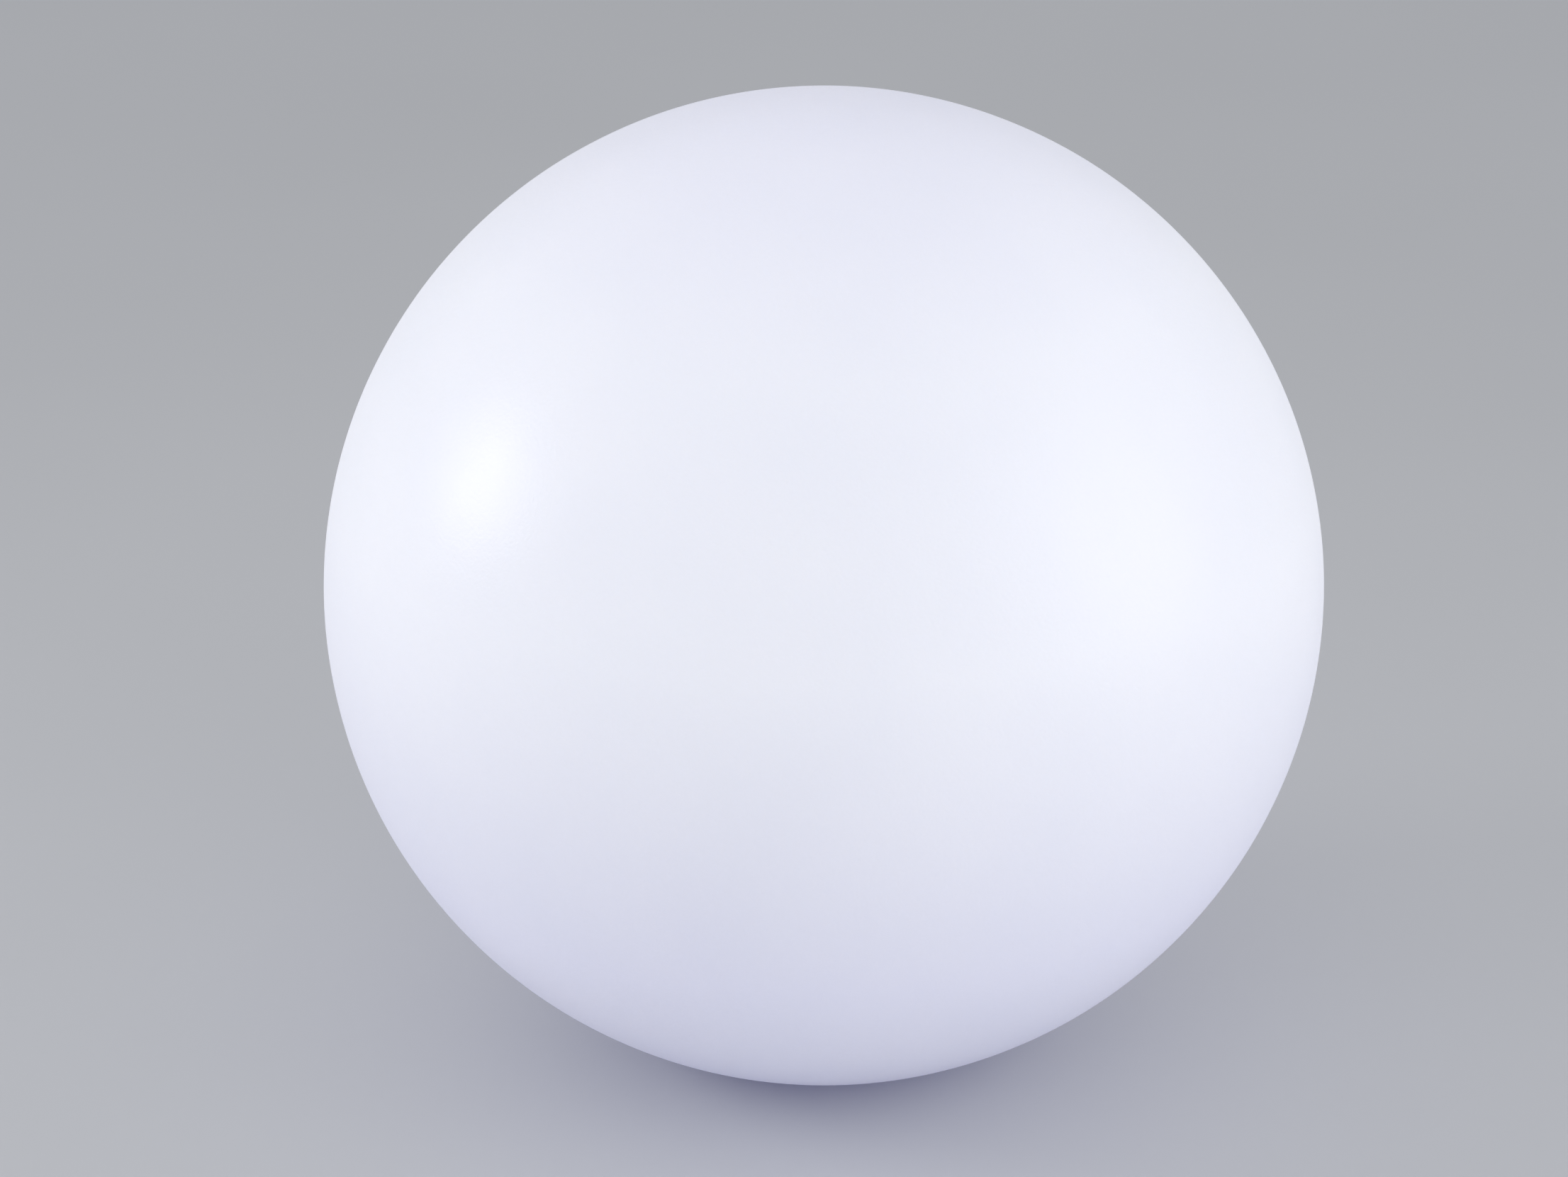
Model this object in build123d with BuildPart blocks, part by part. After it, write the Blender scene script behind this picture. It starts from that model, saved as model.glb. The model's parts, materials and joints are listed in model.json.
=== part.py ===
from build123d import *
import os
from math import cos, pi, radians, sin, sqrt

# Floating pool light: a seamless moulded globe that stands on a small flat foot.
# A sealed lamp unit goes up into the globe from below and is held there by six screws.
# Millimetres, +Z up, with the origin at the centre of the foot.

# ---- Driving dimensions ----
globe_radius = 200.0
globe_wall = 3.5
foot_radius = 50.0  # outer edge of the flat ring that the globe stands on
mouth_radius = 45.6  # inner edge of that ring, and the mouth of the recess
recess_radius = 44.8  # the recess narrows to this at the seat
opening_radius = 34.0  # the lamp unit goes up through this opening
seat_z = 17.0  # the cover's gasket closes against the globe at this height
seat_thickness = 4.0

fit_gap = 0.02  # between parts that are pressed or glued together
running_gap = 0.05  # between a pin or stem and the hole that it moves in

# The flange screws and the brass inserts that they enter
flange_circle = 39.0
boss_radius = 4.8
boss_height = 9.0
insert_radius = 3.4
insert_length = 9.5
insert_inset = 0.3
flange_screw_tip_z = 25.5

# Screws: shank and head radii, and head heights
m4_radius = 2.0
m4_head_radius = 3.6
m4_head_height = 2.4
m3_radius = 1.5
m3_head_radius = 2.8
m3_head_height = 2.2
m2_radius = 1.0
m2_head_radius = 2.0
m2_head_height = 1.6

# The base cover
cover_radius = 44.3
cover_thickness = 3.5
gasket_thickness = 1.5
washer_thickness = 0.8
rim_height = 1.5  # the rims of the button and the port stand this far below the cover
spigot_radius = 31.3
spigot_wall = 1.8
spigot_height = 6.0

# The power button
button_place = (-15.0, 17.0)
button_radius = 6.3
button_well_radius = 6.5
button_stem_radius = 2.45
button_travel = 0.8
button_proud = 1.1
spring_wire_radius = 0.25
spring_turns = 3

# The charging port and its hinged lid
port_place = (16.0, 17.0)
port_radius = 5.1
port_rim_radius = 8.0
lid_radius = 8.6
lid_thickness = 2.0
lid_seal_thickness = 0.8
lid_hinge_reach = 10.6  # from the port's axis to the hinge's axis
lid_barrel_radius = 1.7
lid_barrel_length = 5.4
lid_pin_radius = 0.75

# The mooring ring and its bracket
ring_rod_radius = 2.0
ring_half_width = 15.0
ring_length = 28.0  # from the hinge bar's axis to the end of the bow's centre line
ring_corner_radius = 4.0
ring_pivot_y = 2.0
bracket_thickness = 1.5
bracket_width = 14.0
bracket_length = 25.0
bracket_screw_reach = 8.0

# The lamp unit inside the globe
housing_radius = 33.4
housing_wall = 2.0
board_radius = 30.5
board_thickness = 1.6
board_z = 24.0
riser_reach = 24.5  # the leads climb the housing at this distance from the axis
cell_radius = 9.1
cell_length = 64.0
cell_tip = 1.0
cell_tip_radius = 2.8
cell_circle = 10.9
holder_plate = 2.5
holder_z = 36.5
deck_thickness = 2.0
led_board_radius = 21.5
lead_radius = 0.6
column_radius = 3.4  # the columns and bosses that the housing screws join

# ---- Heights worked out from them ----
inner_radius = globe_radius - globe_wall
centre_z = sqrt(globe_radius**2 - foot_radius**2)
top_z = centre_z + globe_radius
seat_top_z = seat_z + seat_thickness
cover_top_z = seat_z - gasket_thickness
cover_z = cover_top_z - cover_thickness
rim_z = cover_z - rim_height
washer_z = cover_z - washer_thickness
cell_z = holder_z + holder_plate
cell_top_z = cell_z + cell_length
upper_plate_z = cell_top_z + 0.2
strap_thickness = 0.3
lower_strap_z = holder_z - 0.5
upper_strap_z = upper_plate_z + holder_plate + 0.2
upper_lead_z = upper_strap_z + strap_thickness + lead_radius
pad_z = upper_lead_z + lead_radius + 0.2
pad_thickness = 2.4
pad_radius = 20.0
deck_z = pad_z + pad_thickness
deck_top_z = deck_z + deck_thickness
led_board_z = deck_top_z + 1.5
led_face_z = led_board_z + board_thickness
dome_seal_thickness = 1.6
dome_z = deck_top_z + dome_seal_thickness
dome_flange_top_z = dome_z + 2.2
housing_top_z = dome_flange_top_z + 2.4


def around(radius, count, first_angle):
    """Places evenly spaced on a circle about the axis, the first at first_angle degrees."""
    turns = [radians(first_angle + 360 / count * i) for i in range(count)]
    return [(radius * cos(turn), radius * sin(turn)) for turn in turns]


def cavity_z(radius):
    """Height of the cavity's floor at this distance from the axis."""
    return centre_z - sqrt(inner_radius**2 - radius**2)


def cap_radius(base, height):
    """Radius of the sphere whose cap has this base radius and height."""
    return (base**2 + height**2) / (2 * height)


def ring_piece(inner, outer, low, high, places=((0, 0),)):
    """Flat rings from height low to height high, one at each place."""
    with BuildPart() as rings:
        with BuildSketch(Plane.XY.offset(low)):
            with Locations(*places):
                Circle(outer)
                Circle(inner, mode=Mode.SUBTRACT)
        extrude(amount=high - low)
    return rings


def screw_group(places, bearing, tip, head_radius, head_height, shank_radius):
    """Cross-head screws whose heads bear at height bearing and whose shanks end at height tip."""
    way = 1 if tip > bearing else -1
    head_face = Plane.XY.offset(bearing - way * head_height)
    slot_length = 1.15 * head_radius
    slot_width = 0.28 * head_radius
    with BuildPart() as screws:
        with BuildSketch(head_face):
            with Locations(*places):
                Circle(head_radius)
        extrude(amount=way * head_height)
        fillet(screws.edges().group_by(Axis.Z)[0 if way > 0 else -1], 0.45 * head_height)
        with BuildSketch(head_face):
            with Locations(*places):
                Rectangle(slot_length, slot_width)
                Rectangle(slot_width, slot_length)
        extrude(amount=way * 0.55 * head_height, mode=Mode.SUBTRACT)
        with BuildSketch(Plane.XY.offset(bearing)):
            with Locations(*places):
                Circle(shank_radius)
        extrude(amount=tip - bearing)
        chamfer(screws.edges().group_by(Axis.Z)[-1 if way > 0 else 0], 0.3 * shank_radius)
    return screws


# ---- Places that several parts share ----
flange_places = around(flange_circle, 6, 30)
housing_screw_places = around(27.5, 3, 90)
board_screw_places = [(25.6, 4.5), (-25.6, 4.5), (0, -26)]
holder_screw_places = around(26, 3, 30)
cell_places = around(cell_circle, 3, 90)
led_screw_places = around(19, 3, 30)
bracket_screw_places = [
    (0, ring_pivot_y + bracket_screw_reach),
    (0, ring_pivot_y - bracket_screw_reach),
]
indicator_place = (0, 20.0)

os.makedirs("parts", exist_ok=True)

# ==== Globe ====
# One closed wall: the outer sphere, the flat foot ring, the recess under the globe, the seat
# that the lamp unit closes, and the cavity.
recess_wall_top = (recess_radius + globe_wall, seat_top_z)
recess_wall_foot = (mouth_radius + globe_wall, cavity_z(mouth_radius + globe_wall))
insert_pocket_depth = insert_inset + insert_length + 0.2

with BuildPart() as globe:
    with BuildSketch(Plane.XZ):
        with BuildLine():
            ThreePointArc((0, top_z), (globe_radius, centre_z), (foot_radius, 0))
            Polyline(
                (foot_radius, 0),
                (mouth_radius, 0),
                (recess_radius, seat_z),
                (opening_radius, seat_z),
                (opening_radius, seat_top_z),
                recess_wall_top,
                recess_wall_foot,
            )
            ThreePointArc(recess_wall_foot, (inner_radius, centre_z), (0, centre_z + inner_radius))
            Line((0, centre_z + inner_radius), (0, top_z))
        make_face()
    revolve(axis=Axis.Z)
    foot_edges = globe.edges().filter_by(GeomType.CIRCLE).group_by(Axis.Z)[0].sort_by(SortBy.RADIUS)
    fillet(foot_edges[0], 1.2)
    with BuildSketch(Plane.XY.offset(seat_top_z)):
        with Locations(*flange_places):
            Circle(boss_radius)
    extrude(amount=boss_height)
    with BuildSketch(Plane.XY.offset(seat_z)):
        with Locations(*flange_places):
            RegularPolygon(insert_radius + fit_gap, 6)
    extrude(amount=insert_pocket_depth, mode=Mode.SUBTRACT)
globe.part.label = "globe"
export_step(globe.part, "parts/globe.step")

# Six-sided brass inserts, moulded into the bosses above the seat
with BuildPart() as thread_inserts:
    with BuildSketch(Plane.XY.offset(seat_z + insert_inset)):
        with Locations(*flange_places):
            RegularPolygon(insert_radius, 6)
            Circle(m4_radius + running_gap, mode=Mode.SUBTRACT)
    extrude(amount=insert_length)
thread_inserts.part.label = "thread_inserts"
export_step(thread_inserts.part, "parts/thread_inserts.step")

# ==== Base cover ====
button_tower_radius = 8.0
button_ceiling_z = 15.6
button_tower_top_z = 19.0
gland_z = 17.3
gland_radius = 3.6
gland_height = 1.3
socket_collar_radius = 7.4
socket_radius = 5.45
column_top_z = 21.5
seal_groove_depth = 1.8
bracket_column_radius = 3.0
standoff_radius = 2.6
standoff_hole_depth = 6.5
blind_end = 1.0  # left solid above the bracket screws' holes
indicator_radius = 1.6
indicator_collar_radius = 2.8
collar_height = 3.0
lug_offset = lid_barrel_length / 2 + 0.2
lug_thickness = 2.0
lid_top_z = rim_z - lid_seal_thickness
lid_z = lid_top_z - lid_thickness
hinge_y = port_place[1] + lid_hinge_reach
hinge_z = lid_z + lid_barrel_radius

with BuildPart() as base_cover:
    with BuildSketch(Plane.XY.offset(cover_z)):
        Circle(cover_radius)
    extrude(amount=cover_thickness)
    fillet(base_cover.edges().filter_by(GeomType.CIRCLE).group_by(Axis.Z)[0], 1.0)
    # Rims round the button and the port, below the cover
    with BuildSketch(Plane.XY.offset(rim_z)):
        with Locations(button_place):
            Circle(button_tower_radius + 0.5)
        with Locations(port_place):
            Circle(port_rim_radius)
    extrude(amount=rim_height)
    fillet(base_cover.edges().filter_by(GeomType.CIRCLE).group_by(Axis.Z)[0], 0.5)
    # Lugs that carry the lid's hinge pin
    for lug_x in (port_place[0] - lug_offset - lug_thickness, port_place[0] + lug_offset):
        with BuildSketch(Plane.YZ.offset(lug_x)):
            with Locations((hinge_y, hinge_z)):
                Circle(lid_barrel_radius)
            with Locations((hinge_y, (hinge_z + cover_z) / 2)):
                Rectangle(2 * lid_barrel_radius, cover_z - hinge_z)
        extrude(amount=lug_thickness)
    # Spigot that centres the lamp housing, and the tower and collar of the button and the socket
    with BuildSketch(Plane.XY.offset(cover_top_z)):
        Circle(spigot_radius)
        Circle(spigot_radius - spigot_wall, mode=Mode.SUBTRACT)
    extrude(amount=spigot_height)
    with BuildSketch(Plane.XY.offset(cover_top_z)):
        with Locations(button_place):
            Circle(button_tower_radius)
    extrude(amount=button_tower_top_z - cover_top_z)
    with BuildSketch(Plane.XY.offset(cover_top_z)):
        with Locations(port_place):
            Circle(socket_collar_radius)
        with Locations(indicator_place):
            Circle(indicator_collar_radius)
    extrude(amount=collar_height)
    # Columns for the housing screws and the bracket screws, and the taller board standoffs
    with BuildSketch(Plane.XY.offset(cover_top_z)):
        with Locations(*housing_screw_places):
            Circle(column_radius)
        with Locations(*bracket_screw_places):
            Circle(bracket_column_radius)
    extrude(amount=column_top_z - cover_top_z)
    with BuildSketch(Plane.XY.offset(cover_top_z)):
        with Locations(*board_screw_places):
            Circle(standoff_radius)
    extrude(amount=board_z - cover_top_z)
    # Screw holes: through for the flange and housing screws, blind for the others
    with BuildSketch(Plane.XY.offset(cover_z)):
        with Locations(*flange_places):
            Circle(m4_radius + 0.2)
        with Locations(*housing_screw_places):
            Circle(m3_radius + 0.1)
        with Locations(indicator_place):
            Circle(indicator_radius)
    extrude(amount=column_top_z - cover_z, mode=Mode.SUBTRACT)
    with BuildSketch(Plane.XY.offset(cover_z)):
        with Locations(*bracket_screw_places):
            Circle(m3_radius + running_gap)
    extrude(amount=column_top_z - cover_z - blind_end, mode=Mode.SUBTRACT)
    with BuildSketch(Plane.XY.offset(board_z)):
        with Locations(*board_screw_places):
            Circle(m2_radius + running_gap)
    extrude(amount=-standoff_hole_depth, mode=Mode.SUBTRACT)
    # Well, stem guide and seal gland of the button
    with BuildSketch(Plane.XY.offset(rim_z)):
        with Locations(button_place):
            Circle(button_well_radius)
    extrude(amount=button_ceiling_z - rim_z, mode=Mode.SUBTRACT)
    with BuildSketch(Plane.XY.offset(button_ceiling_z)):
        with Locations(button_place):
            Circle(button_stem_radius + running_gap)
    extrude(amount=button_tower_top_z - button_ceiling_z, mode=Mode.SUBTRACT)
    with BuildSketch(Plane.XY.offset(gland_z - gland_height / 2)):
        with Locations(button_place):
            Circle(gland_radius)
    extrude(amount=gland_height, mode=Mode.SUBTRACT)
    # The port's bore, the charge socket's place above it and the bores of the lid's hinge
    with BuildSketch(Plane.XY.offset(rim_z)):
        with Locations(port_place):
            Circle(port_radius)
    extrude(amount=cover_top_z - rim_z, mode=Mode.SUBTRACT)
    with BuildSketch(Plane.XY.offset(cover_top_z)):
        with Locations(port_place):
            Circle(socket_radius + fit_gap)
    extrude(amount=collar_height, mode=Mode.SUBTRACT)
    with BuildSketch(Plane.YZ.offset(port_place[0] - lug_offset - lug_thickness)):
        with Locations((hinge_y, hinge_z)):
            Circle(lid_pin_radius + fit_gap)
    extrude(amount=2 * (lug_offset + lug_thickness), mode=Mode.SUBTRACT)
    # Groove for the seal under the lamp housing
    with BuildSketch(Plane.XY.offset(cover_top_z)):
        Circle(housing_radius)
        Circle(housing_radius - housing_wall, mode=Mode.SUBTRACT)
    extrude(amount=-seal_groove_depth, mode=Mode.SUBTRACT)
base_cover.part.label = "base_cover"
export_step(base_cover.part, "parts/base_cover.step")

# The gasket between the cover and the globe's seat
with BuildPart() as cover_gasket:
    with BuildSketch(Plane.XY.offset(cover_top_z)):
        Circle(cover_radius - 0.5)
        Circle(opening_radius + 0.5, mode=Mode.SUBTRACT)
        with Locations(*flange_places):
            Circle(m4_radius + 0.3, mode=Mode.SUBTRACT)
    extrude(amount=gasket_thickness)
cover_gasket.part.label = "cover_gasket"
export_step(cover_gasket.part, "parts/cover_gasket.step")

flange_screws = screw_group(
    flange_places, washer_z, flange_screw_tip_z, m4_head_radius, m4_head_height, m4_radius
)
flange_screws.part.label = "flange_screws"
export_step(flange_screws.part, "parts/flange_screws.step")

flange_seal_radius = 4.1
flange_screw_seals = ring_piece(
    m4_radius + 0.1, flange_seal_radius, washer_z, cover_z, flange_places
)
flange_screw_seals.part.label = "flange_screw_seals"
export_step(flange_screw_seals.part, "parts/flange_screw_seals.step")

# ==== Power button ====
button_z = rim_z - button_proud
button_head_top_z = 12.4
stem_top_z = 20.6
clip_z = button_tower_top_z + 0.05
clip_radius = 4.2
clip_mouth = 2.4
clip_thickness = 0.6
clip_groove_radius = 2.0
dish_radius = 20.0
dish_depth = 0.5

with BuildPart() as power_button:
    with BuildSketch(Plane.XY.offset(button_z)):
        with Locations(button_place):
            Circle(button_radius)
    extrude(amount=button_head_top_z - button_z)
    fillet(power_button.edges().group_by(Axis.Z)[0], 0.8)
    # A shallow dish in the face for the fingertip
    with Locations((button_place[0], button_place[1], button_z + dish_depth - dish_radius)):
        Sphere(dish_radius, mode=Mode.SUBTRACT)
    with BuildSketch(Plane.XY.offset(button_head_top_z)):
        with Locations(button_place):
            Circle(button_stem_radius)
    extrude(amount=stem_top_z - button_head_top_z)
    with BuildSketch(Plane.XY.offset(clip_z)):
        with Locations(button_place):
            Circle(button_stem_radius + 1)
            Circle(clip_groove_radius, mode=Mode.SUBTRACT)
    extrude(amount=clip_thickness, mode=Mode.SUBTRACT)
power_button.part.label = "power_button"
export_step(power_button.part, "parts/power_button.step")

# An open clip in the stem's groove keeps the button in its well
with BuildPart() as button_clip:
    with BuildSketch(Plane.XY.offset(clip_z)):
        with Locations(button_place):
            Circle(clip_radius)
            Circle(clip_groove_radius + fit_gap, mode=Mode.SUBTRACT)
        with Locations((button_place[0], button_place[1] - 3)):
            Rectangle(clip_mouth, 6, mode=Mode.SUBTRACT)
    extrude(amount=clip_thickness)
button_clip.part.label = "button_clip"
export_step(button_clip.part, "parts/button_clip.step")

spring_radius = 4.2
spring_low_z = button_head_top_z + spring_wire_radius
spring_height = button_ceiling_z - button_head_top_z - 2 * spring_wire_radius
with BuildPart() as button_spring:
    with BuildLine() as coil:
        Helix(
            pitch=spring_height / spring_turns,
            height=spring_height,
            radius=spring_radius,
            center=(button_place[0], button_place[1], spring_low_z),
        )
    with BuildSketch(Plane(origin=coil.line @ 0, z_dir=coil.line % 0)):
        Circle(spring_wire_radius)
    sweep(is_frenet=True)
button_spring.part.label = "button_spring"
export_step(button_spring.part, "parts/button_spring.step")

with BuildPart() as button_seal:
    with Locations((button_place[0], button_place[1], gland_z)):
        Torus((gland_radius + button_stem_radius) / 2, (gland_radius - button_stem_radius) / 2 - fit_gap)
button_seal.part.label = "button_seal"
export_step(button_seal.part, "parts/button_seal.step")

switch_z = 21.5
switch_side = 6.0
switch_bore_depth = 1.7
plunger_radius = 1.5
plunger_length = 1.6
with BuildPart() as power_switch:
    with BuildSketch(Plane.XY.offset(switch_z)):
        with Locations(button_place):
            Rectangle(switch_side, switch_side)
    extrude(amount=board_z - switch_z)
    fillet(power_switch.edges().filter_by(Axis.Z), 0.4)
    with BuildSketch(Plane.XY.offset(switch_z)):
        with Locations(button_place):
            Circle(plunger_radius + running_gap)
    extrude(amount=switch_bore_depth, mode=Mode.SUBTRACT)
power_switch.part.label = "power_switch"
export_step(power_switch.part, "parts/power_switch.step")

with BuildPart() as switch_plunger:
    with BuildSketch(Plane.XY.offset(stem_top_z)):
        with Locations(button_place):
            Circle(plunger_radius)
    extrude(amount=plunger_length)
switch_plunger.part.label = "switch_plunger"
export_step(switch_plunger.part, "parts/switch_plunger.step")

# ==== Charging port ====
with BuildPart() as port_lid:
    with BuildSketch(Plane.XY.offset(lid_z)):
        with Locations(port_place):
            Circle(lid_radius)
        with Locations((port_place[0], port_place[1] + lid_hinge_reach / 2)):
            Rectangle(lid_barrel_length, lid_hinge_reach)
        with Locations((port_place[0], port_place[1] - lid_radius - 0.2)):
            RectangleRounded(7, 4.8, 1.2)
    extrude(amount=lid_thickness)
    fillet(port_lid.edges().group_by(Axis.Z)[0], 0.6)
    with BuildSketch(Plane.YZ.offset(port_place[0] - lid_barrel_length / 2)):
        with Locations((hinge_y, hinge_z)):
            Circle(lid_barrel_radius)
    extrude(amount=lid_barrel_length)
    with BuildSketch(Plane.YZ.offset(port_place[0] - lid_barrel_length / 2)):
        with Locations((hinge_y, hinge_z)):
            Circle(lid_pin_radius + running_gap)
    extrude(amount=lid_barrel_length, mode=Mode.SUBTRACT)
port_lid.part.label = "port_lid"
export_step(port_lid.part, "parts/port_lid.step")

port_lid_seal = ring_piece(port_radius + 0.5, port_rim_radius - 0.4, lid_top_z, rim_z, [port_place])
port_lid_seal.part.label = "port_lid_seal"
export_step(port_lid_seal.part, "parts/port_lid_seal.step")

with BuildPart() as port_hinge_pin:
    with BuildSketch(Plane.YZ.offset(port_place[0] - lug_offset - lug_thickness)):
        with Locations((hinge_y, hinge_z)):
            Circle(lid_pin_radius)
    extrude(amount=2 * (lug_offset + lug_thickness))
port_hinge_pin.part.label = "port_hinge_pin"
export_step(port_hinge_pin.part, "parts/port_hinge_pin.step")

socket_bore_radius = 2.85
socket_bore_depth = 7.0
contact_radius = 1.0
contact_inset = 0.8
with BuildPart() as charge_socket:
    with BuildSketch(Plane.XY.offset(cover_top_z)):
        with Locations(port_place):
            Circle(socket_radius)
    extrude(amount=board_z - cover_top_z)
    with BuildSketch(Plane.XY.offset(cover_top_z)):
        with Locations(port_place):
            Circle(socket_bore_radius)
    extrude(amount=socket_bore_depth, mode=Mode.SUBTRACT)
    with BuildSketch(Plane.XY.offset(cover_top_z + socket_bore_depth)):
        with Locations(port_place):
            Circle(contact_radius + fit_gap)
    extrude(amount=board_z - cover_top_z - socket_bore_depth, mode=Mode.SUBTRACT)
charge_socket.part.label = "charge_socket"
export_step(charge_socket.part, "parts/charge_socket.step")

with BuildPart() as charge_contact:
    with BuildSketch(Plane.XY.offset(cover_top_z + contact_inset)):
        with Locations(port_place):
            Circle(contact_radius)
    extrude(amount=board_z - cover_top_z - contact_inset)
    fillet(charge_contact.edges().group_by(Axis.Z)[0], 0.5)
charge_contact.part.label = "charge_contact"
export_step(charge_contact.part, "parts/charge_contact.step")

# ==== Charge indicator ====
lens_proud = 0.4
with BuildPart() as indicator_lens:
    with BuildSketch(Plane.XY.offset(cover_z - lens_proud)):
        with Locations(indicator_place):
            Circle(indicator_radius - fit_gap)
    extrude(amount=column_top_z - cover_z)
    fillet(indicator_lens.edges().group_by(Axis.Z)[0], lens_proud)
indicator_lens.part.label = "indicator_lens"
export_step(indicator_lens.part, "parts/indicator_lens.step")

with BuildPart() as indicator_led:
    with BuildSketch(Plane.XY.offset(board_z)):
        with Locations(indicator_place):
            Rectangle(3.2, 1.6)
    extrude(amount=-1.4)
indicator_led.part.label = "indicator_led"
export_step(indicator_led.part, "parts/indicator_led.step")

# ==== Mooring bracket and ring ====
bracket_gasket_thickness = 0.8
bracket_top_z = cover_z - bracket_gasket_thickness
bracket_z = bracket_top_z - bracket_thickness
ring_bore_radius = ring_rod_radius + running_gap
strap_radius = ring_bore_radius + bracket_thickness
ring_pivot_z = bracket_z - ring_bore_radius
ring_droop = (ring_pivot_z - ring_rod_radius) / ring_length  # sine of the angle below level
bracket_corner_radius = 3.0
bracket_screw_tip_z = 20.0

with BuildPart() as mooring_bracket:
    with BuildSketch(Plane.XY.offset(bracket_z)):
        with Locations((0, ring_pivot_y)):
            RectangleRounded(bracket_width, bracket_length, bracket_corner_radius)
        with Locations(*bracket_screw_places):
            Circle(m3_radius + 0.1, mode=Mode.SUBTRACT)
    extrude(amount=bracket_thickness)
    with BuildSketch(Plane.YZ.offset(-bracket_width / 2)):
        with Locations((ring_pivot_y, ring_pivot_z)):
            Circle(strap_radius)
        with Locations((ring_pivot_y, (ring_pivot_z + bracket_top_z) / 2)):
            Rectangle(2 * strap_radius, bracket_top_z - ring_pivot_z)
    extrude(amount=bracket_width)
    with BuildSketch(Plane.YZ.offset(-bracket_width / 2)):
        with Locations((ring_pivot_y, ring_pivot_z)):
            Circle(ring_bore_radius)
    extrude(amount=bracket_width, mode=Mode.SUBTRACT)
mooring_bracket.part.label = "mooring_bracket"
export_step(mooring_bracket.part, "parts/mooring_bracket.step")

with BuildPart() as bracket_gasket:
    with BuildSketch(Plane.XY.offset(bracket_top_z)):
        with Locations((0, ring_pivot_y)):
            RectangleRounded(bracket_width, bracket_length, bracket_corner_radius)
        with Locations(*bracket_screw_places):
            Circle(m3_radius + 0.1, mode=Mode.SUBTRACT)
    extrude(amount=bracket_gasket_thickness)
bracket_gasket.part.label = "bracket_gasket"
export_step(bracket_gasket.part, "parts/bracket_gasket.step")

bracket_screws = screw_group(
    bracket_screw_places, bracket_z, bracket_screw_tip_z, m3_head_radius, 2.0, m3_radius
)
bracket_screws.part.label = "bracket_screws"
export_step(bracket_screws.part, "parts/bracket_screws.step")

# The ring's plane leans down from the hinge bar until the bow touches the floor
ring_fall = (0, ring_droop, -sqrt(1 - ring_droop**2))
ring_plane = Plane(origin=(0, ring_pivot_y, ring_pivot_z), x_dir=(1, 0, 0), z_dir=ring_fall)
bar_end = ring_half_width - ring_corner_radius
arm_end = ring_length - ring_half_width
corner_middle = ring_corner_radius * (1 - cos(pi / 4))

with BuildPart() as mooring_ring:
    with BuildLine(ring_plane) as ring_half:
        Line((0, 0), (bar_end, 0))
        ThreePointArc(
            (bar_end, 0),
            (ring_half_width - corner_middle, corner_middle),
            (ring_half_width, ring_corner_radius),
        )
        Line((ring_half_width, ring_corner_radius), (ring_half_width, arm_end))
        ThreePointArc(
            (ring_half_width, arm_end),
            (ring_half_width * cos(pi / 4), arm_end + ring_half_width * sin(pi / 4)),
            (0, ring_length),
        )
    with BuildSketch(Plane(origin=ring_plane.origin, z_dir=(1, 0, 0))):
        Circle(ring_rod_radius)
    sweep(path=ring_half.line)
    mirror(about=Plane.YZ)
mooring_ring.part.label = "mooring_ring"
export_step(mooring_ring.part, "parts/mooring_ring.step")

# ==== Lamp housing ====
boss_gap_z = column_top_z + 0.2
housing_bore = housing_radius - housing_wall
housing_boss_top_z = holder_z - 0.5
housing_screw_tip_z = 32.5
holder_boss_top_z = cell_z + 11
holder_boss_radius = 3.2
holder_hole_depth = 9.0
led_boss_radius = 2.4
led_hole_depth = 3.0
boss_web = 3.0
grommet_slot = (9.6, 5.0)

with BuildPart() as lamp_housing:
    with BuildSketch(Plane.XZ):
        with BuildLine():
            Polyline(
                (housing_radius, cover_top_z),
                (housing_radius, housing_top_z),
                (housing_bore, housing_top_z),
                (housing_bore, deck_top_z),
                (0, deck_top_z),
                (0, deck_z),
                (housing_bore, deck_z),
                (housing_bore, cover_top_z),
                close=True,
            )
        make_face()
    revolve(axis=Axis.Z)
    # Bosses on the inside of the wall, each joined to it by a web
    with BuildSketch(Plane.XY.offset(boss_gap_z)):
        with Locations(*housing_screw_places):
            Circle(column_radius)
        with PolarLocations(29.5, 3, start_angle=90):
            Rectangle(4.4, boss_web)
    extrude(amount=housing_boss_top_z - boss_gap_z)
    with BuildSketch(Plane.XY.offset(cell_z)):
        with Locations(*holder_screw_places):
            Circle(holder_boss_radius)
        with PolarLocations(29, 3, start_angle=30):
            Rectangle(5.4, boss_web)
    extrude(amount=holder_boss_top_z - cell_z)
    with BuildSketch(Plane.XY.offset(deck_top_z)):
        with Locations(*led_screw_places):
            Circle(led_boss_radius)
    extrude(amount=led_board_z - deck_top_z)
    # Blind screw holes
    with BuildSketch(Plane.XY.offset(boss_gap_z)):
        with Locations(*housing_screw_places):
            Circle(m3_radius + running_gap)
    extrude(amount=housing_boss_top_z - boss_gap_z - 2, mode=Mode.SUBTRACT)
    with BuildSketch(Plane.XY.offset(cell_z)):
        with Locations(*holder_screw_places):
            Circle(m2_radius + running_gap)
    extrude(amount=holder_hole_depth, mode=Mode.SUBTRACT)
    with BuildSketch(Plane.XY.offset(led_board_z)):
        with Locations(*led_screw_places):
            Circle(m2_radius + running_gap)
    extrude(amount=-led_hole_depth, mode=Mode.SUBTRACT)
    # The leads' way through the deck
    with BuildSketch(Plane.XY.offset(deck_z)):
        with Locations((riser_reach, 0)):
            SlotOverall(grommet_slot[0] + 2 * fit_gap, grommet_slot[1] + 2 * fit_gap, rotation=90)
    extrude(amount=deck_thickness, mode=Mode.SUBTRACT)
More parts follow.
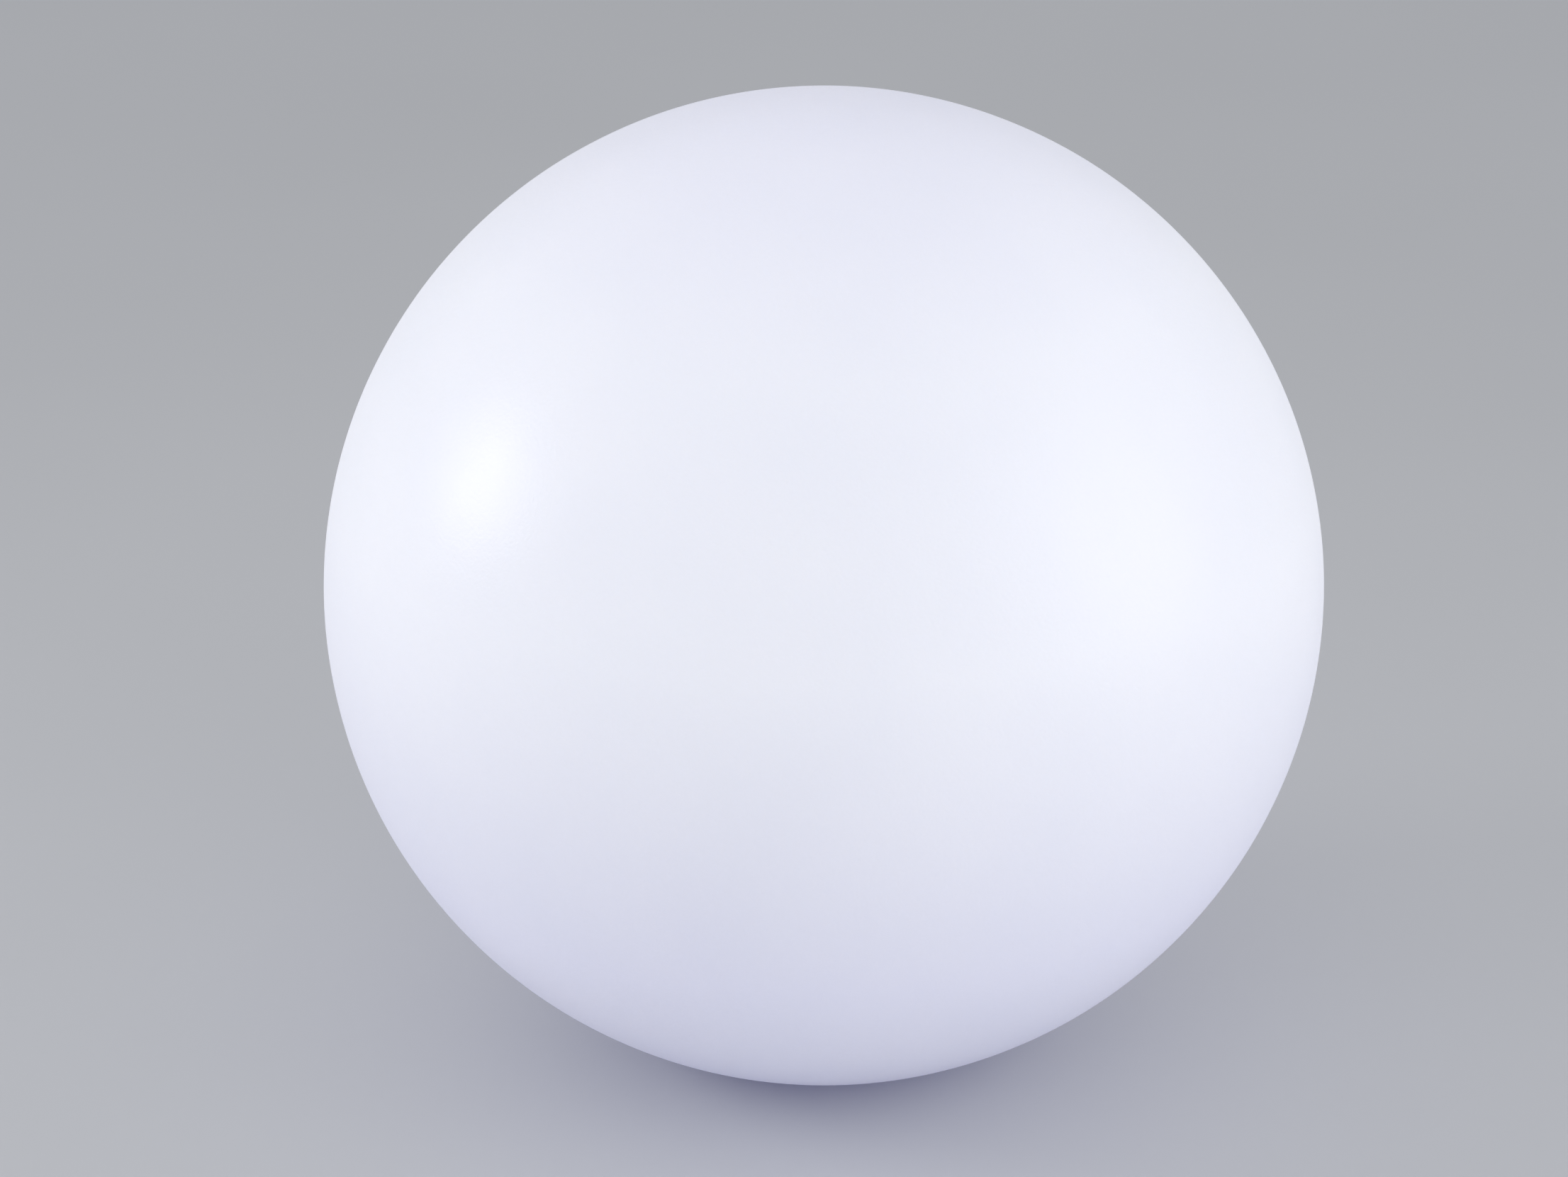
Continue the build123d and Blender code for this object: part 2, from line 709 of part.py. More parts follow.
lamp_housing.part.label = "lamp_housing"
export_step(lamp_housing.part, "parts/lamp_housing.step")

with BuildPart() as housing_seal:
    with Locations((0, 0, cover_top_z - seal_groove_depth / 2)):
        Torus(housing_radius - housing_wall / 2, seal_groove_depth / 2 - fit_gap)
housing_seal.part.label = "housing_seal"
export_step(housing_seal.part, "parts/housing_seal.step")

housing_screws = screw_group(
    housing_screw_places, washer_z, housing_screw_tip_z, m3_head_radius, m3_head_height, m3_radius
)
housing_screws.part.label = "housing_screws"
export_step(housing_screws.part, "parts/housing_screws.step")

housing_seal_radius = 3.2
housing_screw_seals = ring_piece(
    m3_radius + 0.1, housing_seal_radius, washer_z, cover_z, housing_screw_places
)
housing_screw_seals.part.label = "housing_screw_seals"
export_step(housing_screw_seals.part, "parts/housing_screw_seals.step")

# ==== Diffuser dome over the light source ====
dome_outer = 28.8
dome_inner = 26.8
dome_flange = 31.2
dome_height = 24.7
dome_wall = 2.0
dome_apex_z = dome_flange_top_z + dome_height

with BuildPart() as diffuser_dome:
    with BuildSketch(Plane.XZ):
        with BuildLine():
            Polyline(
                (dome_inner, dome_flange_top_z),
                (dome_inner, dome_z),
                (dome_flange, dome_z),
                (dome_flange, dome_flange_top_z),
                (dome_outer, dome_flange_top_z),
            )
            RadiusArc(
                (dome_outer, dome_flange_top_z),
                (0, dome_apex_z),
                -cap_radius(dome_outer, dome_height),
            )
            Line((0, dome_apex_z), (0, dome_apex_z - dome_wall))
            RadiusArc(
                (0, dome_apex_z - dome_wall),
                (dome_inner, dome_flange_top_z),
                cap_radius(dome_inner, dome_height - dome_wall),
            )
        make_face()
    revolve(axis=Axis.Z)
diffuser_dome.part.label = "diffuser_dome"
export_step(diffuser_dome.part, "parts/diffuser_dome.step")

dome_seal = ring_piece(dome_outer - 0.2, dome_flange - 0.1, deck_top_z, dome_z)
dome_seal.part.label = "dome_seal"
export_step(dome_seal.part, "parts/dome_seal.step")

with BuildPart() as dome_retainer:
    with BuildSketch(Plane.XY.offset(dome_flange_top_z)):
        Circle(housing_bore - 0.1)
        Circle(dome_outer + 0.2, mode=Mode.SUBTRACT)
    extrude(amount=housing_top_z - dome_flange_top_z)
    # Spanner notches in the top face
    with BuildSketch(Plane.XY.offset(housing_top_z)):
        with PolarLocations(dome_outer, 4, start_angle=45):
            Rectangle(3, 3.5)
    extrude(amount=-1.2, mode=Mode.SUBTRACT)
dome_retainer.part.label = "dome_retainer"
export_step(dome_retainer.part, "parts/dome_retainer.step")

# ==== Light source ====
with BuildPart() as led_board:
    with BuildSketch(Plane.XY.offset(led_board_z)):
        Circle(led_board_radius)
        with Locations(*led_screw_places):
            Circle(m2_radius + 0.1, mode=Mode.SUBTRACT)
    extrude(amount=board_thickness)
led_board.part.label = "led_board"
export_step(led_board.part, "parts/led_board.step")

led_side = 5.0
led_height = 1.6
led_well_radius = 1.9
led_well_depth = 0.4
led_rings = ((13.5, 12, 15), (5.5, 4, 45))  # radius, number and first angle of each ring
with BuildPart() as led_packages:
    with BuildSketch(Plane.XY.offset(led_face_z)):
        for ring_radius, count, first_angle in led_rings:
            with PolarLocations(ring_radius, count, start_angle=first_angle):
                Rectangle(led_side, led_side)
    extrude(amount=led_height)
    # The round well in each package
    with BuildSketch(Plane.XY.offset(led_face_z + led_height)):
        for ring_radius, count, first_angle in led_rings:
            with PolarLocations(ring_radius, count, start_angle=first_angle):
                Circle(led_well_radius)
    extrude(amount=-led_well_depth, mode=Mode.SUBTRACT)
led_packages.part.label = "led_packages"
export_step(led_packages.part, "parts/led_packages.step")

led_board_screws = screw_group(
    led_screw_places, led_face_z, led_board_z - 2.6, m2_head_radius, m2_head_height, m2_radius
)
led_board_screws.part.label = "led_board_screws"
export_step(led_board_screws.part, "parts/led_board_screws.step")

# A rubber grommet lines the slot in the deck
grommet_lip = 1.0
with BuildPart() as wire_grommet:
    for lip_z in (deck_z - grommet_lip, deck_top_z):
        with BuildSketch(Plane.XY.offset(lip_z)):
            with Locations((riser_reach, 0)):
                SlotOverall(11, 6.4, rotation=90)
        extrude(amount=grommet_lip)
    with BuildSketch(Plane.XY.offset(deck_z)):
        with Locations((riser_reach, 0)):
            SlotOverall(*grommet_slot, rotation=90)
    extrude(amount=deck_thickness)
    with BuildSketch(Plane.XY.offset(deck_z - grommet_lip)):
        with Locations((riser_reach, 0)):
            SlotOverall(6.2, 1.6, rotation=90)
    extrude(amount=deck_thickness + 2 * grommet_lip, mode=Mode.SUBTRACT)
wire_grommet.part.label = "wire_grommet"
export_step(wire_grommet.part, "parts/wire_grommet.step")

# ==== Control board ====
board_top_z = board_z + board_thickness
with BuildPart() as control_board:
    with BuildSketch(Plane.XY.offset(board_z)):
        Circle(board_radius)
        with Locations(*housing_screw_places):
            Circle(column_radius + 0.6, mode=Mode.SUBTRACT)
        with Locations(*board_screw_places):
            Circle(m2_radius + 0.1, mode=Mode.SUBTRACT)
    extrude(amount=board_thickness)
control_board.part.label = "control_board"
export_step(control_board.part, "parts/control_board.step")

board_screw_tip_z = 18.5
control_board_screws = screw_group(
    board_screw_places, board_top_z, board_screw_tip_z, m2_head_radius, m2_head_height, m2_radius
)
control_board_screws.part.label = "control_board_screws"
export_step(control_board_screws.part, "parts/control_board_screws.step")

with BuildPart() as controller_chips:
    with BuildSketch(Plane.XY.offset(board_top_z)):
        with Locations((0, -12)):
            Rectangle(10, 5)
        with Locations((-4, 3), (6, 4)):
            Rectangle(5, 4)
    extrude(amount=1.6)
    chamfer(controller_chips.faces().sort_by(Axis.Z)[-3:].edges(), 0.25)
controller_chips.part.label = "controller_chips"
export_step(controller_chips.part, "parts/controller_chips.step")

capacitor_radius = 2.8
capacitor_height = 6.5
with BuildPart() as capacitors:
    with BuildSketch(Plane.XY.offset(board_top_z)):
        with Locations((-11, -12), (11, -12), (-9, 17)):
            Circle(capacitor_radius)
    extrude(amount=capacitor_height)
    fillet(capacitors.edges().group_by(Axis.Z)[-1], 0.5)
capacitors.part.label = "capacitors"
export_step(capacitors.part, "parts/capacitors.step")

receiver_board = 1.2
with BuildPart() as remote_receiver:
    with BuildSketch(Plane.XY.offset(board_top_z)):
        with Locations((4, 16)):
            Rectangle(12, 8)
    extrude(amount=receiver_board)
    with BuildSketch(Plane.XY.offset(board_top_z + receiver_board)):
        with Locations((2.5, 16)):
            RectangleRounded(7, 6, 0.6)
    extrude(amount=1.8)
remote_receiver.part.label = "remote_receiver"
export_step(remote_receiver.part, "parts/remote_receiver.step")

connector_reach = 16.0
connector_depth = 6.0
connector_height = 6.0
with BuildPart() as wire_connectors:
    with BuildSketch(Plane.XY.offset(board_top_z)):
        with Locations((connector_reach, 0)):
            RectangleRounded(connector_depth, 8, 0.5)
        with Locations((-connector_reach, 0)):
            RectangleRounded(connector_depth, 6, 0.5)
    extrude(amount=connector_height)
    # A latch rib along the top of each
    with BuildSketch(Plane.XY.offset(board_top_z + connector_height)):
        with Locations((connector_reach, 0), (-connector_reach, 0)):
            Rectangle(1.2, 4)
    extrude(amount=0.6)
wire_connectors.part.label = "wire_connectors"
export_step(wire_connectors.part, "parts/wire_connectors.step")

# ==== Battery ====
# Three upright cells in parallel, between two holders, welded to nickel straps
with BuildPart() as battery_cells:
    with BuildSketch(Plane.XY.offset(cell_z)):
        with Locations(*cell_places):
            Circle(cell_radius)
    extrude(amount=cell_length)
    fillet(battery_cells.edges().filter_by(GeomType.CIRCLE), 0.6)
    with BuildSketch(Plane.XY.offset(cell_top_z)):
        with Locations(*cell_places):
            Circle(cell_tip_radius)
    extrude(amount=cell_tip)
battery_cells.part.label = "battery_cells"
export_step(battery_cells.part, "parts/battery_cells.step")


def cell_holder(plate_z, pocket_way, screw_places=()):
    """A plate with a window under each cell and pockets that reach up (1) or down (-1)."""
    pocket_depth = 6.0
    pocket_wall = 1.3
    window_radius = 6.5
    pocket_radius = cell_radius + 0.1
    pocket_z = plate_z + holder_plate if pocket_way > 0 else plate_z
    with BuildPart() as holder:
        with BuildSketch(Plane.XY.offset(plate_z)):
            Circle(board_radius)
            with Locations(*cell_places):
                Circle(window_radius, mode=Mode.SUBTRACT)
            with Locations((riser_reach, 0), (-riser_reach, 0)):
                Circle(3.4, mode=Mode.SUBTRACT)
        extrude(amount=holder_plate)
        with BuildSketch(Plane.XY.offset(pocket_z)):
            with Locations(*cell_places):
                Circle(pocket_radius + pocket_wall)
        extrude(amount=pocket_way * pocket_depth)
        with BuildSketch(Plane.XY.offset(pocket_z)):
            with Locations(*cell_places):
                Circle(pocket_radius)
        extrude(amount=pocket_way * pocket_depth, mode=Mode.SUBTRACT)
        for place in screw_places:
            with BuildSketch(Plane.XY.offset(plate_z)):
                with Locations(place):
                    Circle(m2_radius + 0.1)
            extrude(amount=holder_plate, mode=Mode.SUBTRACT)
    return holder


cell_holder_lower = cell_holder(holder_z, 1, holder_screw_places)
cell_holder_lower.part.label = "cell_holder_lower"
export_step(cell_holder_lower.part, "parts/cell_holder_lower.step")

cell_holder_upper = cell_holder(upper_plate_z, -1)
cell_holder_upper.part.label = "cell_holder_upper"
export_step(cell_holder_upper.part, "parts/cell_holder_upper.step")

holder_screws = screw_group(
    holder_screw_places, holder_z, cell_z + 7, m2_head_radius, m2_head_height, m2_radius
)
holder_screws.part.label = "holder_screws"
export_step(holder_screws.part, "parts/holder_screws.step")

strap_corner_radius = 4.0
weld_tab_radius = 2.5
with BuildPart() as nickel_straps:
    for strap_z, tab_height in (
        (lower_strap_z, cell_z - lower_strap_z - strap_thickness),
        (upper_strap_z, cell_top_z + cell_tip - upper_strap_z),
    ):
        with BuildSketch(Plane.XY.offset(strap_z)):
            Polygon(*cell_places, align=None)
            offset(amount=strap_corner_radius)
        extrude(amount=strap_thickness)
        tab_root_z = strap_z + strap_thickness if tab_height > 0 else strap_z
        with BuildSketch(Plane.XY.offset(tab_root_z)):
            with Locations(*cell_places):
                Circle(weld_tab_radius)
        extrude(amount=tab_height)
nickel_straps.part.label = "nickel_straps"
export_step(nickel_straps.part, "parts/nickel_straps.step")

with BuildPart() as battery_pad:
    with BuildSketch(Plane.XY.offset(pad_z)):
        Circle(pad_radius)
    extrude(amount=pad_thickness)
battery_pad.part.label = "battery_pad"
export_step(battery_pad.part, "parts/battery_pad.step")


# ==== Leads ====
def lead_piece(side, from_reach, from_z, to_reach, to_z, rows):
    """Leads that leave a connector, climb the housing and turn in: side is 1 for +X, -1 for -X."""
    bend = 2.5
    with BuildPart() as leads:
        for row_y in rows:
            with BuildLine() as route:
                FilletPolyline(
                    (side * from_reach, row_y, from_z),
                    (side * riser_reach, row_y, from_z),
                    (side * riser_reach, row_y, to_z),
                    (side * to_reach, row_y, to_z),
                    radius=bend,
                )
            with BuildSketch(Plane(origin=(side * from_reach, row_y, from_z), z_dir=(side, 0, 0))):
                Circle(lead_radius)
            sweep(path=route.line)
    return leads


connector_face = connector_reach + connector_depth / 2
connector_exit_z = board_top_z + connector_height / 2
led_pad_z = led_face_z + lead_radius

led_leads = lead_piece(
    1, connector_face, connector_exit_z, 18.0, led_pad_z, (-2.1, -0.7, 0.7, 2.1)
)
led_leads.part.label = "led_leads"
export_step(led_leads.part, "parts/led_leads.step")

battery_lead_red = lead_piece(-1, connector_face, connector_exit_z, 7.0, upper_lead_z, (1.2,))
battery_lead_red.part.label = "battery_lead_red"
export_step(battery_lead_red.part, "parts/battery_lead_red.step")

lower_lead_z = lower_strap_z - lead_radius
battery_lead_black = lead_piece(-1, connector_face, connector_exit_z, 7.0, lower_lead_z, (-1.2,))
battery_lead_black.part.label = "battery_lead_black"
export_step(battery_lead_black.part, "parts/battery_lead_black.step")
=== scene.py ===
"""Floating pool light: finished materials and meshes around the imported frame."""
import json
from math import asin, cos, pi, radians, sin, sqrt

import bmesh
import bpy
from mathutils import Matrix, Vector, noise


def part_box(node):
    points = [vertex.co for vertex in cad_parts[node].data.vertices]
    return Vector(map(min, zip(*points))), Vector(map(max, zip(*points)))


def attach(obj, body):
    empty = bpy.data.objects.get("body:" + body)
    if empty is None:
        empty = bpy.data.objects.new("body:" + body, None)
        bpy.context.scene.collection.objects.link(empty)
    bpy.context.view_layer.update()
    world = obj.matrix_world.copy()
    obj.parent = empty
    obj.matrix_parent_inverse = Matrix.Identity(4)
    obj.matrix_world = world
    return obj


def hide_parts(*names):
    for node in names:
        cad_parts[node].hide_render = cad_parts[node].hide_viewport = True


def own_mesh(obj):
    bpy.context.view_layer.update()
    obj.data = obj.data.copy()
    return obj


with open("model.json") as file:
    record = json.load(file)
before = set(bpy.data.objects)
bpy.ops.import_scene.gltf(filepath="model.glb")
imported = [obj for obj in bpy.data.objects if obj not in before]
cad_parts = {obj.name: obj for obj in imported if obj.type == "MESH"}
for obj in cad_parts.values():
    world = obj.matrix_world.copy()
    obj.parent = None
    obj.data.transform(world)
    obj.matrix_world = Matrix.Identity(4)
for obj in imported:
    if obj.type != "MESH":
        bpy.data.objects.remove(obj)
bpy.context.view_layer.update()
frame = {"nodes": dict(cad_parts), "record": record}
scene = bpy.context.scene

MM = 0.001

# ---- The ball, from the frame ----
globe_low, globe_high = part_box("globe")
GLOBE_RADIUS = (globe_high[0] - globe_low[0]) / 2
TOP_Z = globe_high[2]
CENTRE_Z = TOP_Z - GLOBE_RADIUS
FOOT_RADIUS = sqrt(GLOBE_RADIUS**2 - CENTRE_Z**2)

# ---- The globe's wall, recess and bosses, as in the CAD ----
WALL = 3.5 * MM
MOUTH_RADIUS = 45.6 * MM
RECESS_RADIUS = 44.8 * MM
OPENING_RADIUS = 34.0 * MM
SEAT_Z = 17.0 * MM
SEAT_TOP_Z = 21.0 * MM
BOSS_COUNT = 6
BOSS_FIRST_TURN = radians(30)
BOSS_CIRCLE = 39.0 * MM
BOSS_RADIUS = 4.8 * MM
BOSS_HEIGHT = 9.0 * MM
BOSS_SUNK = 0.5 * MM  # how far a boss reaches down into the seat
BOSS_ROOF = 3.0 * MM  # above the pocket for the insert
POCKET_RADIUS = 3.42 * MM

# ---- Rounded edges of the wall's outline, and of a boss ----
FOOT_ROUNDING = 1.0 * MM
MOUTH_ROUNDING = 1.2 * MM
SEAT_ROUNDING = 0.6 * MM
LIP_ROUNDING = 0.4 * MM
SHOULDER_ROUNDING = 1.5 * MM
BOSS_ROUNDING = 0.6 * MM

# ---- The button's spring ----
SPRING_TURNS = 4.5
SPRING_END_TURNS = 0.75  # closed at each end, with no pitch
SPRING_WIRE = 0.25 * MM


# ==== Camera ====
CAMERA_ELEVATION = radians(23.2)
CAMERA_DISTANCE = 14 * GLOBE_RADIUS
BALL_SHARE = 0.638  # the ball's apparent diameter, as a share of the picture's width
BALL_RIGHT = 0.0253  # how far right of the picture's middle it stands, in picture widths
BALL_UP = 0.0020  # and how far above it


def add_camera():
    """Looks along +Y and down at the ball, which stands a little right of the middle."""
    apparent = asin(GLOBE_RADIUS / CAMERA_DISTANCE)
    data = bpy.data.cameras.new("camera")
    data.sensor_fit = "HORIZONTAL"
    half_width = sin(apparent) / cos(apparent) / BALL_SHARE
    data.lens = data.sensor_width / 2 / half_width
    camera = bpy.data.objects.new("camera", data)
    scene.collection.objects.link(camera)
    centre = Vector((0, 0, CENTRE_Z))
    back = Vector((0, -cos(CAMERA_ELEVATION), sin(CAMERA_ELEVATION)))
    right = Vector((1, 0, 0))
    up = back.cross(right)
    picture_width = 2 * half_width * CAMERA_DISTANCE
    aim = centre - right * picture_width * BALL_RIGHT - up * picture_width * BALL_UP
    camera.location = centre + back * CAMERA_DISTANCE
    camera.rotation_mode = "QUATERNION"
    camera.rotation_quaternion = (aim - camera.location).to_track_quat("-Z", "Y")
    scene.camera = camera


add_camera()


# ==== Materials ====
class Nodes:
    """A new material's node tree, with short ways to add the nodes used below."""

    def __init__(self, name):
        self.material = bpy.data.materials.new(name)
        self.material.use_nodes = True
        self.tree = self.material.node_tree
        self.shader = self.tree.nodes["Principled BSDF"]
        self.place = self.add("ShaderNodeTexCoord").outputs["Object"]

    def add(self, kind, **settings):
        node = self.tree.nodes.new(kind)
        for key, value in settings.items():
            setattr(node, key, value)
        return node

    def link(self, source, target):
        self.tree.links.new(source, target)

    def stretched(self, scale):
        """Object coordinates scaled by a different amount along each axis."""
        node = self.add("ShaderNodeMapping")
        node.inputs["Scale"].default_value = scale
        self.link(self.place, node.inputs["Vector"])
        return node.outputs["Vector"]

    def noise(self, period, detail=2.0, roughness=0.5, place=None):
        node = self.add("ShaderNodeTexNoise")
        node.inputs["Scale"].default_value = 1 / period
        node.inputs["Detail"].default_value = detail
        node.inputs["Roughness"].default_value = roughness
        self.link(place or self.place, node.inputs["Vector"])
        return node.outputs["Fac"]

    def cells(self, period, feature="F1"):
        node = self.add("ShaderNodeTexVoronoi", feature=feature)
        node.inputs["Scale"].default_value = 1 / period
        self.link(self.place, node.inputs["Vector"])
        return node.outputs["Distance"]

    def ramp(self, source, low, high, from_low=0.3, from_high=0.7):
        """Maps a texture from one range of values to another."""
        node = self.add("ShaderNodeMapRange")
        node.inputs["From Min"].default_value = from_low
        node.inputs["From Max"].default_value = from_high
        node.inputs["To Min"].default_value = low
        node.inputs["To Max"].default_value = high
        self.link(source, node.inputs["Value"])
        return node.outputs["Result"]

    def colours(self, source, stops):
        """A colour ramp: stops are (position, (red, green, blue))."""
        node = self.add("ShaderNodeValToRGB")
        elements = node.color_ramp.elements
        while len(elements) < len(stops):
            elements.new(1.0)
        for element, (position, colour) in zip(elements, stops):
            element.position = position
            element.color = (*colour, 1)
        self.link(source, node.inputs["Fac"])
        return node.outputs["Color"]

    def bump(self, *layers):
        """Bumps one over the other: each layer is (height texture, depth in metres)."""
        normal = None
        for height, depth in layers:
            node = self.add("ShaderNodeBump")
            node.inputs["Strength"].default_value = 1.0
            node.inputs["Distance"].default_value = depth
            self.link(height, node.inputs["Height"])
            if normal:
                self.link(normal, node.inputs["Normal"])
            normal = node.outputs["Normal"]
        self.link(normal, self.shader.inputs["Normal"])

    def set(self, **values):
        for key, value in values.items():
            self.shader.inputs[key.replace("_", " ")].default_value = value


def tinted(colour, amount):
    """A colour made lighter or darker."""
    return tuple(min(1.0, c * amount) for c in colour)


SCRATCH_PERIOD, SCRATCH_DEPTH = 0.25 * MM, 0.004 * MM  # on metal
GRAIN_PERIOD, GRAIN_DEPTH = 1.5 * MM, 0.13 * MM  # the orange-peel skin of the ball
WAVE_PERIOD, WAVE_DEPTH = 9 * MM, 0.03 * MM  # the slower unevenness under it
# The glow by height, as a share of the ball's top: the lamp inside lights the ball, and painted shade
# dims it towards the foot and a little at the top.
GLOW_WITH_PAINTED_SHADE = [
    (0.0, (0.04, 0.04, 0.09)),
    (0.25, (0.18, 0.18, 0.26)),
    (0.6, (0.315, 0.32, 0.35)),
    (0.85, (0.305, 0.31, 0.34)),
    (1.0, (0.25, 0.25, 0.305)),
]


def globe_material():
    """White polyethylene that the lamp inside lights up, with painted shade in its glow, and a fine
    orange-peel skin.
    """
    m = Nodes("globe_pe")
    shade = m.noise(60 * MM, detail=3)
    m.link(m.colours(shade, [(0.3, (0.83, 0.84, 0.885)), (0.7, (0.86, 0.865, 0.90))]),
           m.shader.inputs["Base Color"])
    m.link(m.ramp(m.noise(25 * MM), 0.32, 0.37), m.shader.inputs["Roughness"])
    m.set(Subsurface_Weight=0.35, Subsurface_Scale=6 * MM, IOR=1.50)
    m.shader.inputs["Subsurface Radius"].default_value = (1.0, 0.95, 0.9)
    place = m.add("ShaderNodeSeparateXYZ")
    m.link(m.place, place.inputs["Vector"])
    height = m.ramp(place.outputs["Z"], 0, 1, from_low=0, from_high=TOP_Z)
    # The emission colour by height: the lamp's own glow with painted shade, darker towards the foot and
    # a little near the top.
    m.link(m.colours(height, GLOW_WITH_PAINTED_SHADE), m.shader.inputs["Emission Color"])
    m.set(Emission_Strength=1.0)
    m.bump(
        (m.noise(WAVE_PERIOD, detail=1), WAVE_DEPTH),
        (m.noise(GRAIN_PERIOD, detail=2, roughness=0.6), GRAIN_DEPTH),
    )
    return m.material


def moulded(name, colour, roughness, grain=0.6 * MM, depth=0.02 * MM, spread=0.02, **settings):
    """Moulded plastic or rubber: a fine grain, faint mottling and uneven gloss."""
    m = Nodes(name)
    mottle = m.noise(7 * MM, detail=4)
    m.link(m.colours(mottle, [(0.25, tinted(colour, 1 - spread)), (0.75, tinted(colour, 1 + spread))]),
           m.shader.inputs["Base Color"])
    m.link(m.ramp(m.noise(3 * MM, detail=3), roughness - 0.06, roughness + 0.06),
           m.shader.inputs["Roughness"])
    m.set(**settings)
    m.bump((m.noise(grain, detail=2), depth), (m.noise(6 * grain, detail=1), depth))
    return m.material


def metal(name, colour, roughness, squeeze=(1, 1, 1)):
    """Worked metal with faint stains: fine lines, closer together along an axis squeezed more."""
    m = Nodes(name)
    lines = m.noise(SCRATCH_PERIOD, detail=3, place=m.stretched(squeeze))
    stains = m.noise(5 * MM, detail=4)
    m.link(m.colours(stains, [(0.3, tinted(colour, 0.86)), (0.65, colour), (0.8, tinted(colour, 1.05))]),
           m.shader.inputs["Base Color"])
    m.link(m.ramp(lines, roughness - 0.08, roughness + 0.1), m.shader.inputs["Roughness"])
    m.set(Metallic=1.0)
    m.bump((lines, SCRATCH_DEPTH))
    return m.material


def clear(name, colour, roughness, frost=0.3 * MM):
    """Clear or frosted moulded plastic that passes light."""
    m = Nodes(name)
    m.link(m.colours(m.noise(8 * MM), [(0.3, tinted(colour, 0.95)), (0.7, colour)]),
           m.shader.inputs["Base Color"])
    m.link(m.ramp(m.noise(frost, detail=3), roughness - 0.05, roughness + 0.05),
           m.shader.inputs["Roughness"])
    m.set(Transmission_Weight=0.8, IOR=1.58)
    m.bump((m.noise(frost, detail=2), 0.01 * MM))
    return m.material


def board(name, mask, track, roughness):
    """A printed board: solder mask, with the tracks under it showing a little lighter."""
    m = Nodes(name)
    tracks = m.ramp(m.cells(2.4 * MM, feature="DISTANCE_TO_EDGE"), 1, 0, from_low=0.04, from_high=0.07)
    m.link(m.colours(tracks, [(0.4, mask), (0.6, track)]), m.shader.inputs["Base Color"])
    m.link(m.ramp(m.noise(2 * MM), roughness - 0.05, roughness + 0.05), m.shader.inputs["Roughness"])
    m.set(Coat_Weight=0.4, Coat_Roughness=0.2)
    m.bump((tracks, 0.03 * MM))
    return m.material


def foam(name, colour):
    """Closed-cell foam: small round cells and a dull, uneven surface."""
    m = Nodes(name)
    pores = m.cells(0.8 * MM)
    m.link(m.colours(pores, [(0.0, tinted(colour, 0.6)), (0.6, tinted(colour, 1.3))]),
           m.shader.inputs["Base Color"])
    m.link(m.ramp(m.noise(2 * MM), 0.8, 0.95), m.shader.inputs["Roughness"])
    m.bump((pores, 0.15 * MM))
    return m.material


def light_package(name):
    """A pale moulded package with a phosphor that glows."""
    m = Nodes(name)
    m.link(m.colours(m.noise(1.5 * MM), [(0.3, (0.9, 0.83, 0.55)), (0.7, (0.95, 0.9, 0.7))]),
           m.shader.inputs["Base Color"])
    m.link(m.ramp(m.noise(MM), 0.25, 0.4), m.shader.inputs["Roughness"])
    m.set(Emission_Color=(0.8, 0.85, 1.0, 1), Emission_Strength=0.5)
    m.bump((m.noise(0.4 * MM), 0.01 * MM))
    return m.material


FINISHES = {
    "globe_pe": globe_material(),
    "white_abs": moulded("white_abs", (0.80, 0.80, 0.78), 0.42),
    "grey_abs": moulded("grey_abs", (0.10, 0.105, 0.115), 0.45),
    "black_plastic": moulded("black_plastic", (0.018, 0.018, 0.02), 0.45, grain=0.4 * MM),
    "silicone": moulded("silicone", (0.62, 0.63, 0.64), 0.6, Subsurface_Weight=0.2,
                        Subsurface_Scale=MM),
    "black_rubber": moulded("black_rubber", (0.02, 0.02, 0.02), 0.65, spread=0.2),
    "foam": foam("foam", (0.05, 0.05, 0.055)),
    "stainless": metal("stainless", (0.60, 0.60, 0.61), 0.3, squeeze=(1, 6, 6)),
    "spring_steel": metal("spring_steel", (0.45, 0.45, 0.46), 0.25),
    "nickel": metal("nickel", (0.63, 0.61, 0.57), 0.35, squeeze=(1, 4, 1)),
    "brass": metal("brass", (0.72, 0.52, 0.22), 0.32, squeeze=(1, 1, 8)),
    "frosted_pc": clear("frosted_pc", (0.93, 0.95, 0.97), 0.5),
    "clear_pc": clear("clear_pc", (0.95, 0.97, 0.98), 0.1, frost=2 * MM),
    "board_green": board("board_green", (0.01, 0.12, 0.045), (0.02, 0.2, 0.08), 0.3),
    "board_white": board("board_white", (0.78, 0.79, 0.79), (0.7, 0.71, 0.71), 0.35),
    "led_white": light_package("led_white"),
    "cell_wrap": moulded("cell_wrap", (0.01, 0.07, 0.2), 0.25, grain=4 * MM, depth=0.05 * MM),
    "capacitor_sleeve": moulded("capacitor_sleeve", (0.015, 0.02, 0.06), 0.25, grain=2 * MM),
    "red_insulation": moulded("red_insulation", (0.45, 0.01, 0.012), 0.4),
    "black_insulation": moulded("black_insulation", (0.02, 0.02, 0.02), 0.4),
    "white_insulation": moulded("white_insulation", (0.75, 0.75, 0.74), 0.4),
}

for part in frame["record"]["subparts"]:
    cad_mesh = frame["nodes"][part["node"]].data
    cad_mesh.materials.clear()
    cad_mesh.materials.append(FINISHES[part["material_slot"]])


# ==== Meshes ====
SHARP_EDGE = radians(35)  # faces that meet at more than this stay sharp


def finished_mesh(name, form):
    """Turns a bmesh into a mesh, and frees it."""
    mesh = bpy.data.meshes.new(name)
    form.to_mesh(mesh)
    form.free()
    return mesh


def join_rings(form, first, second):
    """Faces between two rings with the same number of points."""
    for i in range(len(first)):
        j = (i + 1) % len(first)
        form.faces.new((first[i], first[j], second[j], second[i]))


